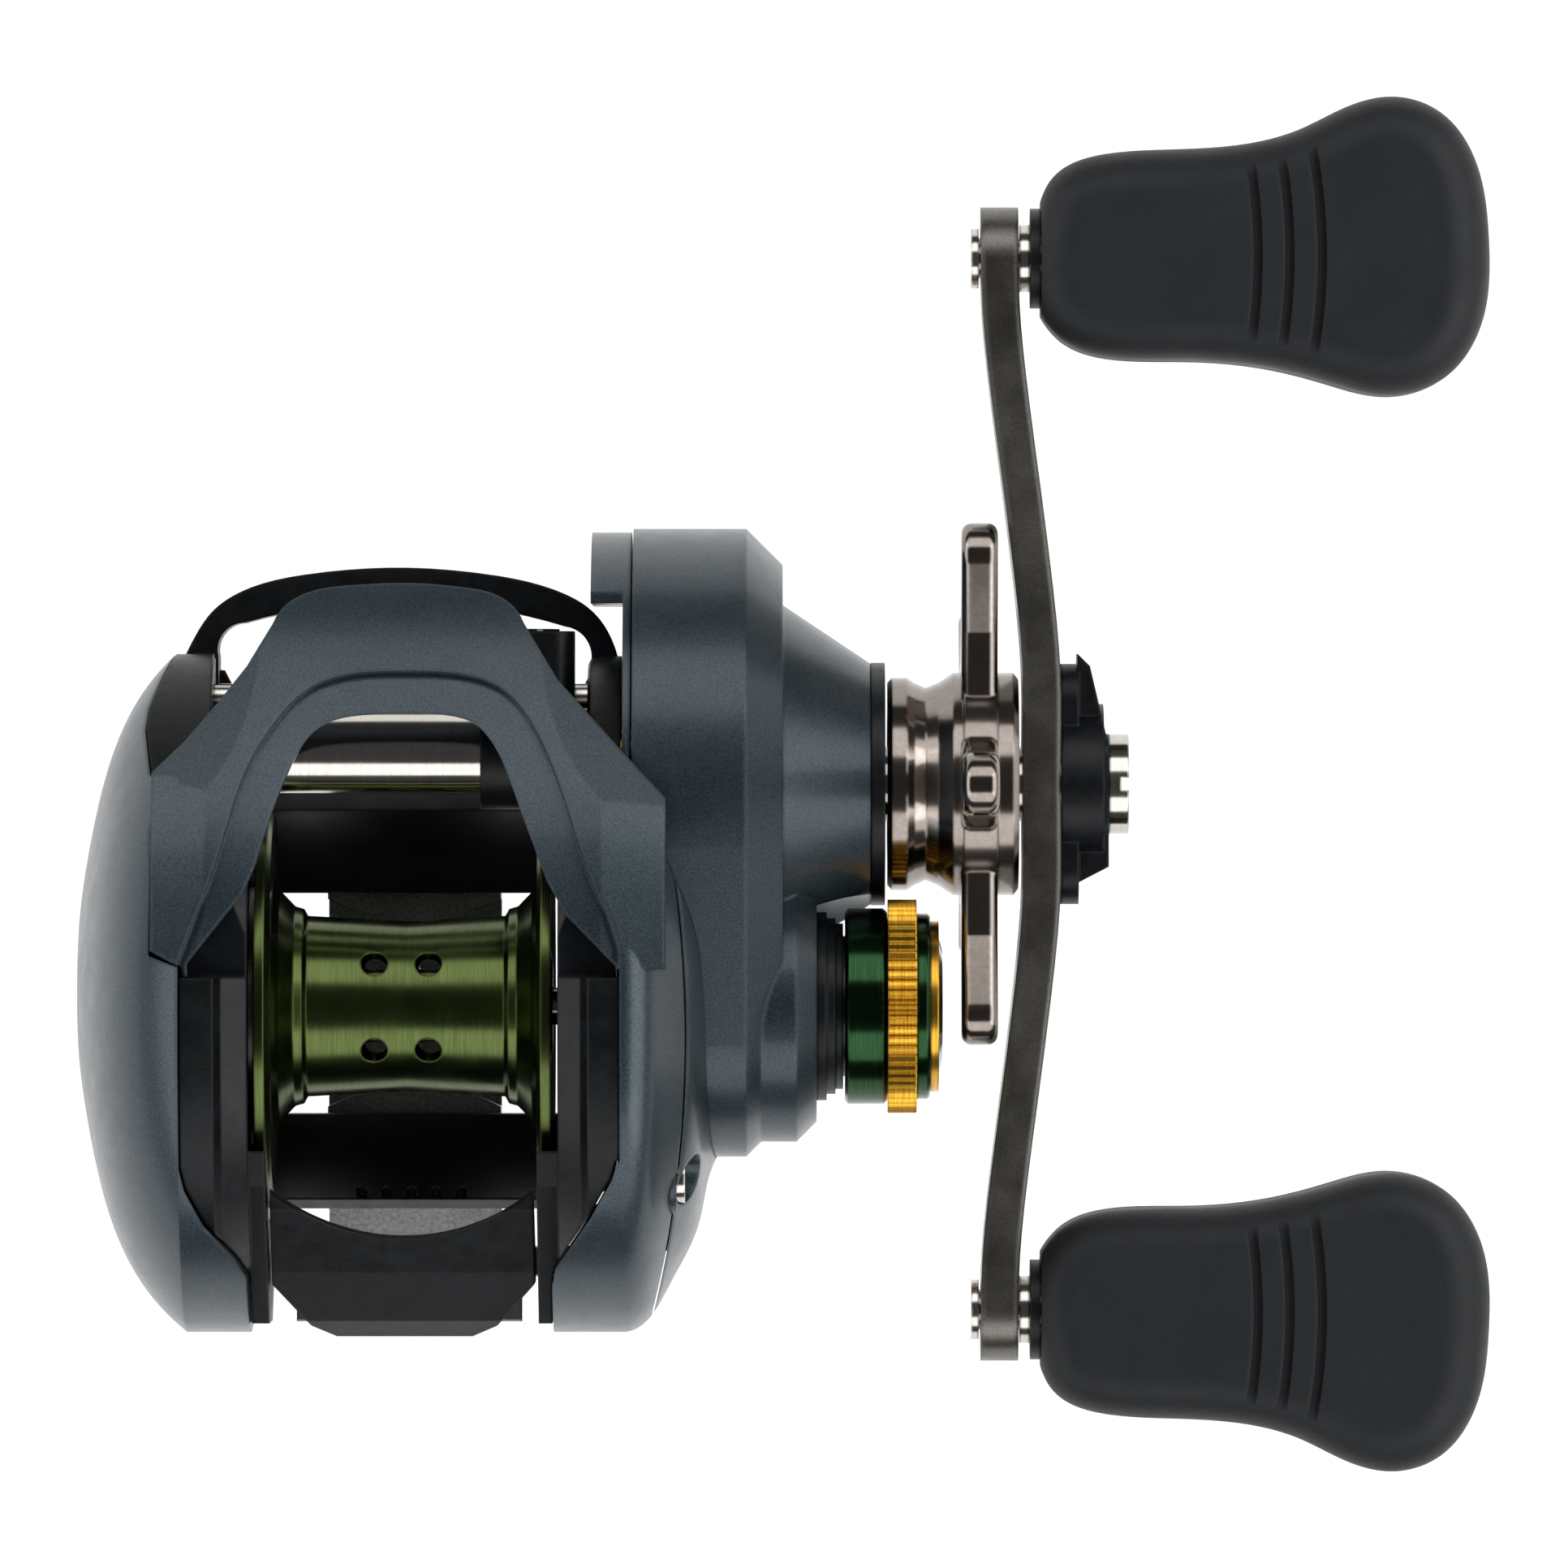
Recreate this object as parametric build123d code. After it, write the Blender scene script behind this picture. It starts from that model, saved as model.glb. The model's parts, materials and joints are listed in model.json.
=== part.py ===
from build123d import *
from math import acos, atan2, cos, pi, radians, sin, sqrt, tan
import os

# Low-profile baitcasting reel, right-hand drive, in millimetres.
# X runs along the spool towards the handle, Y towards the rod tip, Z up from the rod.
# The origin is the centre of the reel foot's seat face.

# ---------------------------------------------------------------- driving dimensions
SPOOL_AXIS = (0.0, 25.0)        # (Y, Z) of the spool shaft
GEAR_LEAN = -13.2               # direction from spool shaft to drive shaft, degrees from +Y
GEAR_MODULE = 0.36
GEAR_TEETH = 87
PINION_TEETH = 14
WIND_LEAN = 76.9                # direction from drive shaft to worm shaft
WIND_MODULE = 0.5
WIND_DRIVE_TEETH = 26
WORM_GEAR_TEETH = 18
BACKLASH = 0.07                 # taken off each tooth at the pitch circle

RUN = 0.05                      # radial clearance of a running fit
SEAM = 0.12                     # shadow gap between outside covers
PLAY = 0.35                     # clearance round parts that slide or swing freely

# spool
SPOOL_LEFT = -11.8
SPOOL_RIGHT = 11.5
FLANGE_R = 17.0
FLANGE_T = 0.8
DRUM_R = 7.2
DRUM_WAIST = 0.45               # how much the drum narrows at its middle
DRUM_WALL = 0.9
SPOOL_SHAFT_R = 1.5
SPOOL_BEARING_R = SPOOL_SHAFT_R + 1.95
SPOOL_HOLE_R = 1.05
SPOOL_HOLE_ROWS = (-2.6, 1.7)

# frame walls
WALL_LEFT_IN = -12.3
WALL_LEFT_OUT = -17.5
WALL_RIGHT_IN = 12.1
WINDOW_LEFT = -15.5             # the levelwind bay is wider than the spool bay
WINDOW_RIGHT = 14.3
WALL_LEFT_STEPS = [(-17.5, 0.965), (-14.9, 0.955), (-14.3, 0.915), (-12.3, 0.87)]
WALL_RIGHT_STEPS = [(12.1, 0.87), (13.9, 0.915), (14.5, 0.955), (16.95, 0.965)]

# side covers
SHELL_OUT = 24.7

# gear case
CASE_IN = 17.9
CASE_OUT = 29.8
CASE_R = 20.4
CASE_CHAMFER = 2.9
LOBE_R = 12.0
LOBE_OUT = 32.5
NECK_ROOT_R = 14.3
NECK_R = 9.6
NECK_OUT = 37.95
NECK_RING_T = 1.1

# drag
DRAG_R = 11.6                   # drag washers, inside the drive gear

# handle
HANDLE_ARM = 42.0               # drive shaft to knob spindle
ARM_IN = 48.9
ARM_T = 3.0
ARM_SWEEP = 3.3                 # how far the ends are swept towards the reel
ARM_END_R = 4.1
ARM_HUB_W = 12.5
DRIVE_SHAFT_R = 3.0
DRIVE_TAIL_R = DRIVE_SHAFT_R - 0.6
TAIL_BEARING_R = DRIVE_TAIL_R + 1.55
SLEEVE_R = DRIVE_SHAFT_R + 1.0  # sleeve that runs in the one-way clutch
DRIVE_BEARING_R = SLEEVE_R + 3.35
SPRING_R = DRIVE_SHAFT_R + 2.0  # cupped drag washers
NUT_R = DRIVE_SHAFT_R + 2.2     # hexagon nuts, across corners
STAR_BORE_R = NUT_R + 0.4
STAR_R = 21.7
STAR_IN = 44.0
STAR_T = 2.9
HUB_R = 8.5
RETAINER_R = 1.2
KNOB_IN = 50.4
KNOB_OUT = 86.1
KNOB_HALF = 8.6
KNOB_T = 14.4
CAP_R = 3.0                     # plug in the knob's outer end
SPINDLE_END = 66.4
SPINDLE_R = 2.0
SPINDLE_TAIL_R = SPINDLE_R - 0.4
BUSH_R = SPINDLE_R + 0.7
KNOB_SCREW_R = 1.9

# levelwind
TUBE_R = 3.25
TUBE_BORE_R = TUBE_R - 0.5
WORM_R = TUBE_BORE_R - 0.45
WORM_TAIL_R = WORM_R - 0.6
GUIDE_ROD_R = 1.1
GUIDE_ROD_AXIS = (24.6, 24.0)
GUIDE_CENTRE = 9.6              # the guide's place at rest, near the handle side
GUIDE_W = 7.4
PAWL_R = 1.2
PAWL_SEAT_R = 2.5
EYE_R = 1.6                     # bore of the line guide's insert
EYE_SEAT_R = 2.5

# cast control
CAST_CAP_R = 7.8
CAST_BOSS_R = SPOOL_BEARING_R + 2.15

# screws
COVER_SCREW_R = 0.98
COVER_HEAD_R = 1.9
COVER_BOSS_R = 2.8
PALM_SCREW_R = 1.05
PALM_HEAD_R = 2.1
FOOT_SCREW_R = 1.1
FOOT_HEAD_R = 2.1
THREAD = 0.05                   # a screw's clearance in the parts that it passes

# pinion
PINION_TAIL_R = SPOOL_SHAFT_R + 0.5
PINION_BEARING_R = PINION_TAIL_R + 2.45
PINION_NECK_R = SPOOL_SHAFT_R + 1.1     # groove that the yoke rides in
PINION_HEAD_R = SPOOL_SHAFT_R + 2.7     # slotted head that takes the spool pin
CAM_BORE_R = PINION_HEAD_R + 1.0

# foot
FOOT_L = 54.0
FOOT_W = 14.0
FOOT_T = 2.6
FOOT_PAD = (8.4, 13.4)          # raised pads that meet the frame's lower bars, distances from the middle
BAR_LOW = 6.0                   # underside of the frame's lower bars

# thumb bar
BAR_MID = -0.3
BAR_HALF = 10.4
EAR_LEFT = (-12.4, -11.0)        # side plates of the frame that the thumb bar slides between
EAR_RIGHT = (10.4, 12.2)
BAR_PRESS = 4.0
SADDLE = 3.9                    # depth of the thumb bar's curved front edge

# ---------------------------------------------------------------- derived places
SPREAD = GEAR_MODULE * (GEAR_TEETH + PINION_TEETH) / 2
DRIVE_AXIS = (
    SPOOL_AXIS[0] + SPREAD * cos(radians(GEAR_LEAN)),
    SPOOL_AXIS[1] + SPREAD * sin(radians(GEAR_LEAN)),
)
WIND_SPREAD = WIND_MODULE * (WIND_DRIVE_TEETH + WORM_GEAR_TEETH) / 2
WORM_AXIS = (
    DRIVE_AXIS[0] + WIND_SPREAD * cos(radians(WIND_LEAN)),
    DRIVE_AXIS[1] + WIND_SPREAD * sin(radians(WIND_LEAN)),
)

# side outline of the body, (Y, Z), and the point it is scaled about
OUTLINE = [
    (-25.8, 22), (-24, 33), (-17, 41.5), (-6, 46), (5, 46), (15, 42), (23, 35),
    (28.5, 26), (28.5, 19), (24, 10.5), (14, 5), (0, 3), (-14, 4.5), (-22.5, 11),
]
OUTLINE_CENTRE = (1.4, 24.0)


# ---------------------------------------------------------------- shape helpers
def rod(x0, x1, r, axis):
    """A round bar along X."""
    return Pos((x0 + x1) / 2, axis[0], axis[1]) * Rot(0, 90, 0) * Cylinder(r, x1 - x0)


def ring(x0, x1, r_out, r_in, axis):
    return rod(x0, x1, r_out, axis) - rod(x0 - 1, x1 + 1, r_in, axis)


def upright(x, y, z0, z1, r):
    return Pos(x, y, (z0 + z1) / 2) * Cylinder(r, z1 - z0)


def block(x0, x1, y0, y1, z0, z1):
    return Pos((x0 + x1) / 2, (y0 + y1) / 2, (z0 + z1) / 2) * Box(x1 - x0, y1 - y0, z1 - z0)


def turned(profile, axis):
    """A lathe-turned piece: a closed (x, radius) outline spun about a shaft axis."""
    face = make_face(Polyline(*profile, close=True))
    return Pos(0, axis[0], axis[1]) * revolve(face, Axis.X, 360)


def side_face(points, x, round_r=0.0):
    face = make_face(Polyline(*points, close=True))
    if round_r:
        face = fillet(face.vertices(), round_r)
    return Plane.YZ.offset(x) * face


def side_slab(points, x0, x1, round_r=0.0):
    """A (Y, Z) outline extruded along X."""
    return extrude(side_face(points, x0, round_r), x1 - x0)


def plan_slab(points, z0, z1):
    """An (X, Y) outline extruded upwards."""
    return extrude(Pos(0, 0, z0) * make_face(Polyline(*points, close=True)), z1 - z0)


def body_face(x, scale):
    """The body's egg-shaped side outline, scaled about its centre, at a place along X."""
    cy, cz = OUTLINE_CENTRE
    points = [(cy + (y - cy) * scale, cz + (z - cz) * scale) for y, z in OUTLINE]
    return Plane.YZ.offset(x) * make_face(Spline(*points, periodic=True))


def body_loft(stations, ruled=False):
    return loft([body_face(x, s) for x, s in stations], ruled=ruled)


def joined(shapes):
    total = shapes[0]
    for shape in shapes[1:]:
        total = total + shape
    return total


# ---------------------------------------------------------------- gears
def gear_outline(module, teeth, phase, addendum, dedendum, flank_steps=3):
    """Outline of an involute spur gear, 20 degree pressure angle, with a tooth centred at phase."""
    pressure = radians(20)
    pitch_r = module * teeth / 2
    base_r = pitch_r * cos(pressure)
    tip_r = pitch_r + addendum * module
    root_r = pitch_r - dedendum * module
    half_at_pitch = pi / (2 * teeth) - BACKLASH / 2 / pitch_r
    involute_at_pitch = tan(pressure) - pressure

    def half_angle(r):
        if r <= base_r:
            return half_at_pitch + involute_at_pitch
        roll = acos(base_r / r)
        return half_at_pitch + involute_at_pitch - (tan(roll) - roll)

    start_r = max(base_r, root_r)
    radii = [start_r + (tip_r - start_r) * i / flank_steps for i in range(flank_steps + 1)]
    if root_r < base_r:
        radii = [root_r] + radii
    points = []
    for tooth in range(teeth):
        centre = radians(phase) + 2 * pi * tooth / teeth
        rising = [(r, centre - half_angle(r)) for r in radii]
        falling = [(r, centre + half_angle(r)) for r in reversed(radii)]
        points += [(r * cos(a), r * sin(a)) for r, a in rising + falling]
    return points


def spur_gear(module, teeth, phase, x0, x1, axis, addendum=0.8, dedendum=1.25):
    points = gear_outline(module, teeth, phase, addendum, dedendum)
    return Pos(0, axis[0], axis[1]) * side_slab(points, x0, x1)


# ---------------------------------------------------------------- painted covers
HOOD_TOP = [(2.5, 46.4), (8, 46.2), (14, 45.0), (20, 42.8), (26, 39.8), (31, 36.8), (33.6, 34.6)]
HOOD_T = 2.6
HOOD_RIDGE = 15.5
LEDGE_DROP = 0.75               # how far the band round the hood's opening lies below its crown
FACET_LEAN = 24.0               # fall of the hood's outer facets, degrees

HOOD_PLAN_LEFT = [(-19.8, 4.6), (-19.8, 18.6), (-17.2, 21.1), (-14.5, 24.3), (-12.4, 27.0), (-10.4, 30.4)]
HOOD_PLAN_RIGHT = [(9.3, 30.5), (12.1, 25.9), (17.8, 19.6), (20.6, 16.6)]
HOOD_BROW = [(-10.4, 30.4), (-9.0, 32.2), (-7.2, 33.0), (-3.9, 33.45), (0.2, 33.6), (4.6, 33.25), (6.8, 32.8),
             (8.2, 32.0), (9.3, 30.5)]
OPENING_ARCH = [(-11.6, 11.2), (-10.7, 14.2), (-9.8, 16.8), (-8.65, 19.5), (-7.4, 21.5), (-5.8, 22.6),
                (-3.9, 23.05), (0.2, 23.2), (4.0, 23.0), (5.6, 22.4), (7.0, 20.9), (7.9, 19.2), (8.7, 17.1),
                (10.2, 13.0), (11.3, 10.1)]
OPENING_FOOT = [(11.3, 10.1), (12.8, 7.4), (16.7, 3.4), (16.8, 2.0), (-16.9, 2.0), (-16.9, 3.6),
                (-12.6, 9.0), (-11.6, 11.2)]
LEDGE_ARCH = [(-16.0, 8.0), (-13.6, 15.05), (-11.9, 19.75), (-10.1, 22.6), (-7.8, 25.05), (-5.1, 26.2),
              (0.2, 26.6), (5.4, 26.2), (7.8, 25.2), (10.15, 22.4), (12.8, 16.2), (16.0, 7.7)]
LEDGE_FOOT = [(16.0, 7.7), (17.6, 3.0), (17.6, 0.0), (-17.9, 0.0), (-17.9, 3.0), (-16.0, 8.0)]
RIDGE_LEFT = [(-12.0, 27.4, 38.9), (-15.6, 17.4, 43.8)]       # ends of the crease above the left leg
RIDGE_RIGHT = [(11.3, 27.4, 38.9), (14.9, 17.4, 43.8)]
HORN_RIGHT = [(16.8, -12.0), (16.4, -13.4), (14.7, -16.4), (11.9, -20.5), (11.6, -22.0), (11.6, -32)]
HORN_LEFT = [(-17.6, -12.6), (-17.2, -14.3), (-15.8, -17.0), (-13.5, -19.6), (-12.55, -21.2), (-12.5, -32)]
PARTING = [(20.0, 17.2), (22.0, 1.7), (19.4, -24.4)]      # seam between cheek and handle-side shell


def hood_section(x, scale, top_drop=0.0):
    """Filled side profile under the hood's top surface."""
    cz = OUTLINE_CENTRE[1]
    top = [(y * scale, cz + (z - cz) * scale - top_drop) for y, z in HOOD_TOP]
    lip = (top[-1][0], 14)
    heel = (top[0][0] - 3.0, 14)
    shoulder = (top[0][0] - 3.0, top[0][1])
    wire = Spline(*top) + Polyline(top[-1], lip, heel, shoulder, top[0])
    return Plane.YZ.offset(x) * make_face(wire)


def hood_form(top_drop=0.0):
    mid = extrude(hood_section(-HOOD_RIDGE, 1.0, top_drop), 2 * HOOD_RIDGE)
    left = loft([hood_section(-21.5, 0.93, top_drop), hood_section(-HOOD_RIDGE, 1.0, top_drop)], ruled=True)
    right = loft([hood_section(HOOD_RIDGE, 1.0, top_drop), hood_section(23.0, 0.93, top_drop)], ruled=True)
    return mid + left + right


def cheek_side(z0=0.0, z1=60.0, shift=0.0):
    """Everything between the spool and the curved seam of the handle-side shell."""
    arc = ThreePointArc(*[(x + shift, y) for x, y in PARTING])
    ends = Polyline((PARTING[2][0] + shift, PARTING[2][1]), (PARTING[2][0] + shift - 1, -34), (5, -34),
                    (5, 40), (PARTING[0][0] + shift - 2, 40), (PARTING[0][0] + shift, PARTING[0][1]))
    return extrude(Pos(0, 0, z0) * make_face(arc + ends), z1 - z0)


def hood_plan_face():
    left = Polyline(*HOOD_PLAN_LEFT)
    right = Polyline(*HOOD_PLAN_RIGHT)
    rear = Polyline(HOOD_PLAN_RIGHT[-1], (20.6, 3.2), (16.8, 3.2), (16.8, 2.6), (-17.2, 2.6), (-17.4, 3.4),
                    HOOD_PLAN_LEFT[0])
    return make_face(left + Spline(*HOOD_BROW) + right + rear)


def arch_slab(arch, foot, z0, z1):
    """A plan area with a smoothly arched front and straight-sided feet, extruded upwards."""
    return extrude(Pos(0, 0, z0) * make_face(Spline(*arch) + Polyline(*foot)), z1 - z0)


def facet_cutter(ridge, side):
    """Everything above the plane that falls outwards from a crease on the hood."""
    low, high = Vector(*ridge[0]), Vector(*ridge[1])
    along = (high - low).normalized()
    outward = along.cross(Vector(0, 0, 1)).normalized() * -side
    if outward.X * side < 0:
        outward = outward * -1
    fall = (outward * cos(radians(FACET_LEAN)) - Vector(0, 0, 1) * sin(radians(FACET_LEAN))).normalized()
    normal = along.cross(fall).normalized()
    if normal.Z < 0:
        normal = normal * -1
    plane = Plane(origin=low, x_dir=along, z_dir=normal)
    return plane * Pos(0, 0, 10) * Box(80, 80, 20)


def case_form(grow=0.0):
    """Outside of the gear case: a drum round the drive shaft run into a lobe round the spool shaft."""
    r1 = CASE_R + grow
    r2 = LOBE_R + grow
    dy = DRIVE_AXIS[0] - SPOOL_AXIS[0]
    dz = DRIVE_AXIS[1] - SPOOL_AXIS[1]
    dist = sqrt(dy * dy + dz * dz)
    lean = atan2(dz, dy)
    spread = acos((r1 - r2) / dist)

    def tangent(axis, r, side):
        a = lean + pi - side * spread
        return (axis[0] + r * cos(a), axis[1] + r * sin(a))

    up1, up2 = tangent(DRIVE_AXIS, r1, 1), tangent(SPOOL_AXIS, r2, 1)
    low1, low2 = tangent(DRIVE_AXIS, r1, -1), tangent(SPOOL_AXIS, r2, -1)
    nose = (DRIVE_AXIS[0] + r1 * cos(lean), DRIVE_AXIS[1] + r1 * sin(lean))
    tail = (SPOOL_AXIS[0] - r2 * cos(lean), SPOOL_AXIS[1] - r2 * sin(lean))
    wire = (
        ThreePointArc(up1, nose, low1) + Line(low1, low2) + ThreePointArc(low2, tail, up2) + Line(up2, up1)
    )
    face = Plane.YZ.offset(CASE_IN) * make_face(wire)
    drum = extrude(face, CASE_OUT + grow - CASE_IN)
    drum = chamfer(drum.faces().sort_by(Axis.X)[-1].edges(), CASE_CHAMFER)
    lobe = rod(CASE_IN + 2, LOBE_OUT + grow, LOBE_R + grow - 1.2, SPOOL_AXIS)
    lobe = chamfer(lobe.faces().sort_by(Axis.X)[-1].edges(), 1.6)
    return drum + lobe


def case_room():
    """Space inside the gear case."""
    drum = rod(CASE_IN - 3, 27.9, CASE_R - 1.9, DRIVE_AXIS)
    lobe = rod(CASE_IN - 3, 28.4, LOBE_R - 2.6, SPOOL_AXIS)
    return drum + lobe


# side covers as (X, scale of the side outline)
PALM_DOME = [(-17.6, 1.0), (-19.3, 0.945), (-21.9, 0.82), (-23.9, 0.65), (-25.4, 0.42), (-26.3, 0.10)]
PALM_ROOM = [(-16.0, 0.93), (-19.0, 0.88), (-21.3, 0.74), (-23.1, 0.56), (-24.4, 0.25)]
RIGHT_DOME = [
    (17.0, 1.0), (18.4, 0.985), (19.5, 0.945), (20.4, 0.89), (21.8, 0.795), (23.3, 0.66), (24.2, 0.52),
    (SHELL_OUT, 0.38),
]
RIGHT_ROOM = [(16.5, 0.93), (18.6, 0.90), (20.6, 0.78), (22.0, 0.66), (23.0, 0.45), (23.2, 0.3)]

# black column of the frame that shows in front of the palm side cover, in plan
COLUMN_PLAN = [(-15.6, 18.4), (-19.9, 18.4), (-20.5, 22.0), (-20.3, 23.7), (-19.4, 26.2), (-17.8, 29.7),
               (-15.6, 32.4)]
HOOP_Z = (15.5, 21.0)
HOOP_FRONT = [(-18.9, 24.0), (-18.5, 26.6), (-17.5, 28.9), (-15.7, 31.6), (-13.0, 33.3), (-8.0, 34.5),
              (-0.4, 35.0), (6.0, 34.5), (11.9, 33.1), (14.6, 31.5), (16.3, 28.8), (16.9, 25.5)]
WORM_BEAR_X = 16.4              # how far the worm tube and guide rod run into the walls
COVER_SCREWS = [(-13.5, 36.0), (-17.0, 15.5), (-6.5, 8.0)]
PALM_SCREW = (-16.5, 13.0)
FOOT_SCREWS = [(-4.4, 12.2), (4.4, 12.2), (-4.4, -12.6), (4.4, -12.6)]
DIAL_AXIS = (8.0, 12.0)
DIAL_R = 4.6
DIAL_STEM_R = 1.6
HOUSING_R = 17.4
BRAKE_ROOM_R = 11.0
CAM_PIN_AXIS = (-20.4, 27.0)    # where the thumb bar's carrier drives the clutch cam
PIN_R = 0.8
CAM_X = (18.0, 18.8)
YOKE_X = (19.7, 20.7)
YOKE_SHIFT = 1.5                # travel that takes the pinion off the spool pin
PINION_X = (21.4, 27.4)         # toothed length of the pinion
POST_OFFSET = 7.4               # yoke posts above and below the spool shaft
POST_R = 1.0
POST_END = 26.0
GEAR_X = (23.2, 26.2)
WIND_X = (18.1, 20.0)


def carrier_slot():
    """Room in the handle-side wall for the thumb bar's arm, over its whole travel."""
    py, pz = CAM_PIN_AXIS
    return block(10, 18, py - 1.8, py + 1.8, 20.9 - BAR_PRESS - 0.5, pz + 2.0)


def horn_region(side, grow=0.0):
    """Plan area at the rear where the painted covers wrap round the ends of the frame walls."""
    edge = HORN_RIGHT if side > 0 else HORN_LEFT
    inner = [(x - side * grow, y + grow) for x, y in edge]
    outer = [(side * 30, edge[-1][1]), (side * 30, edge[0][1] + grow)]
    return plan_slab(inner + outer, -2, 60)


def walls():
    left = body_loft(WALL_LEFT_STEPS, ruled=True)
    left = left - rod(WALL_LEFT_OUT - 1, WALL_LEFT_IN + 1, HOUSING_R, SPOOL_AXIS)
    left = left - block(WINDOW_LEFT, WALL_LEFT_IN + 1, 15.5, 30, 17.5, 50)
    right = body_loft(WALL_RIGHT_STEPS, ruled=True)
    right = right - block(WALL_RIGHT_IN - 1, WINDOW_RIGHT, 15.5, 30, 17.5, 50)
    column = extrude(body_face(-20.6, 0.97), 5.0) & plan_slab(COLUMN_PLAN, HOOP_Z[0], 50)
    return left + right + column


def lower_bar(side):
    """A bar across the bottom of the frame, hollowed concentric with the spool."""
    r = FLANGE_R + 0.8
    near = side * 8.9
    far = side * 15.6
    heel = 18.6 if side > 0 else 16.4
    top_near = SPOOL_AXIS[1] - sqrt(r * r - near * near)
    top_far = SPOOL_AXIS[1] - sqrt(r * r - far * far)
    mid_y = side * 12.6
    mid = (mid_y, SPOOL_AXIS[1] - sqrt(r * r - mid_y * mid_y))
    wire = ThreePointArc((near, top_near), mid, (far, top_far)) + Polyline(
        (far, top_far), (side * heel, 14.8), (side * 13.6, BAR_LOW), (near, BAR_LOW), (near, top_near))
    return extrude(Plane.YZ.offset(WALL_LEFT_IN - 0.4) * make_face(wire), WALL_RIGHT_IN - WALL_LEFT_IN + 0.8)


def hoop():
    """Low bumper loop in front of the levelwind, run into the column on the palm side."""
    front = Spline(*HOOP_FRONT)
    back = Polyline(HOOP_FRONT[-1], (16.9, 20.0), (-18.9, 20.0), HOOP_FRONT[0])
    solid = extrude(Pos(0, 0, HOOP_Z[0]) * make_face(front + back), HOOP_Z[1] - HOOP_Z[0])
    corner_left = ThreePointArc((-15.3, 27.9), (-14.8, 29.9), (-13.2, 30.6))
    inside_front = ThreePointArc((-13.2, 30.6), (0.0, 32.3), (12.4, 30.3))
    corner_right = ThreePointArc((12.4, 30.3), (13.9, 29.5), (14.5, 27.6))
    sides = Polyline((14.5, 27.6), (14.5, 10.0), (-15.3, 10.0), (-15.3, 27.9))
    hole = extrude(Pos(0, 0, HOOP_Z[0] - 1) * make_face(corner_left + inside_front + corner_right + sides), 8)
    return solid - hole


def ears():
    """Side plates that stand either side of the thumb bar."""
    profile = [(-11.2, 39.8), (-14.0, 39.0), (-25.2, 27.6), (-25.2, 20.0), (-20.5, 14.0), (-16.5, 13.0)]
    plates = side_slab(profile, *EAR_LEFT) + side_slab(profile, *EAR_RIGHT)
    return plates - rod(-20, 20, FLANGE_R + PLAY, SPOOL_AXIS)


def under_hood():
    """Everything over the hood's underside, cut away from the frame walls that carry it."""
    cz = OUTLINE_CENTRE[1]
    low = [(y, cz + (z - cz) * 0.965 - HOOD_T - 0.1) for y, z in HOOD_TOP]
    start, end = low[0], low[-1]
    box_top = Polyline(end, (end[0] + 6, end[1]), (end[0] + 6, 60), (start[0], 60), start)
    return extrude(Plane.YZ.offset(-24) * make_face(Spline(*low) + box_top), 48)


def frame_node():
    frame = walls() + lower_bar(1) + lower_bar(-1) + hoop() + ears()
    for i in range(5):
        frame = frame + Pos(-4.0 + 2.0 * i, -15.0, 15.9) * Sphere(0.45)
    frame = frame - horn_region(1, SEAM) - horn_region(-1, SEAM)
    frame = frame - under_hood()
    # shaft seats in the handle-side wall
    frame = frame - rod(11, 18, PINION_HEAD_R + 0.8, SPOOL_AXIS)
    frame = frame - rod(13.4, 18, TAIL_BEARING_R + RUN, DRIVE_AXIS)
    frame = frame - rod(-WORM_BEAR_X, WORM_BEAR_X, TUBE_R, WORM_AXIS)
    frame = frame - rod(-WORM_BEAR_X, WORM_BEAR_X, GUIDE_ROD_R, GUIDE_ROD_AXIS)
    frame = frame - rod(WORM_BEAR_X, 18, WORM_TAIL_R + PLAY, WORM_AXIS)
    frame = frame - carrier_slot()
    for axis in COVER_SCREWS:
        frame = frame - rod(13.9, 18, COVER_SCREW_R + THREAD, axis)
    frame = frame - rod(-18, -14.0, PALM_SCREW_R + THREAD, PALM_SCREW)
    for x, y in FOOT_SCREWS:
        frame = frame - upright(x, y, 5, 8.6, FOOT_SCREW_R)
    return frame


def foot_node():
    half = FOOT_L / 2
    side = [(-half, 0), (half, 0), (half, 1.0), (half - 14, FOOT_T), (-half + 14, FOOT_T), (-half, 1.0)]
    plate = side_slab(side, -FOOT_W / 2, FOOT_W / 2)
    plan = Pos(0, 0, -1) * extrude(
        make_face(
            ThreePointArc((-FOOT_W / 2, half - 5), (0, half), (FOOT_W / 2, half - 5))
            + Line((FOOT_W / 2, half - 5), (FOOT_W / 2, 5 - half))
            + ThreePointArc((FOOT_W / 2, 5 - half), (0, -half), (-FOOT_W / 2, 5 - half))
            + Line((-FOOT_W / 2, 5 - half), (-FOOT_W / 2, half - 5))
        ), 8)
    plate = plate & plan
    near, far = FOOT_PAD
    for sign in (1, -1):
        end = ThreePointArc((-FOOT_W / 2, sign * near), (0, sign * (near - 1.7)), (FOOT_W / 2, sign * near))
        rest = Polyline((FOOT_W / 2, sign * near), (FOOT_W / 2, sign * far), (-FOOT_W / 2, sign * far),
                        (-FOOT_W / 2, sign * near))
        plate = plate + extrude(Pos(0, 0, FOOT_T - 0.5) * make_face(end + rest), BAR_LOW - FOOT_T + 0.5)
    for x, y in FOOT_SCREWS:
        plate = plate - upright(x, y, -1, 8, FOOT_SCREW_R) - upright(x, y, -1, 1.5, FOOT_HEAD_R)
    return plate


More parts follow.
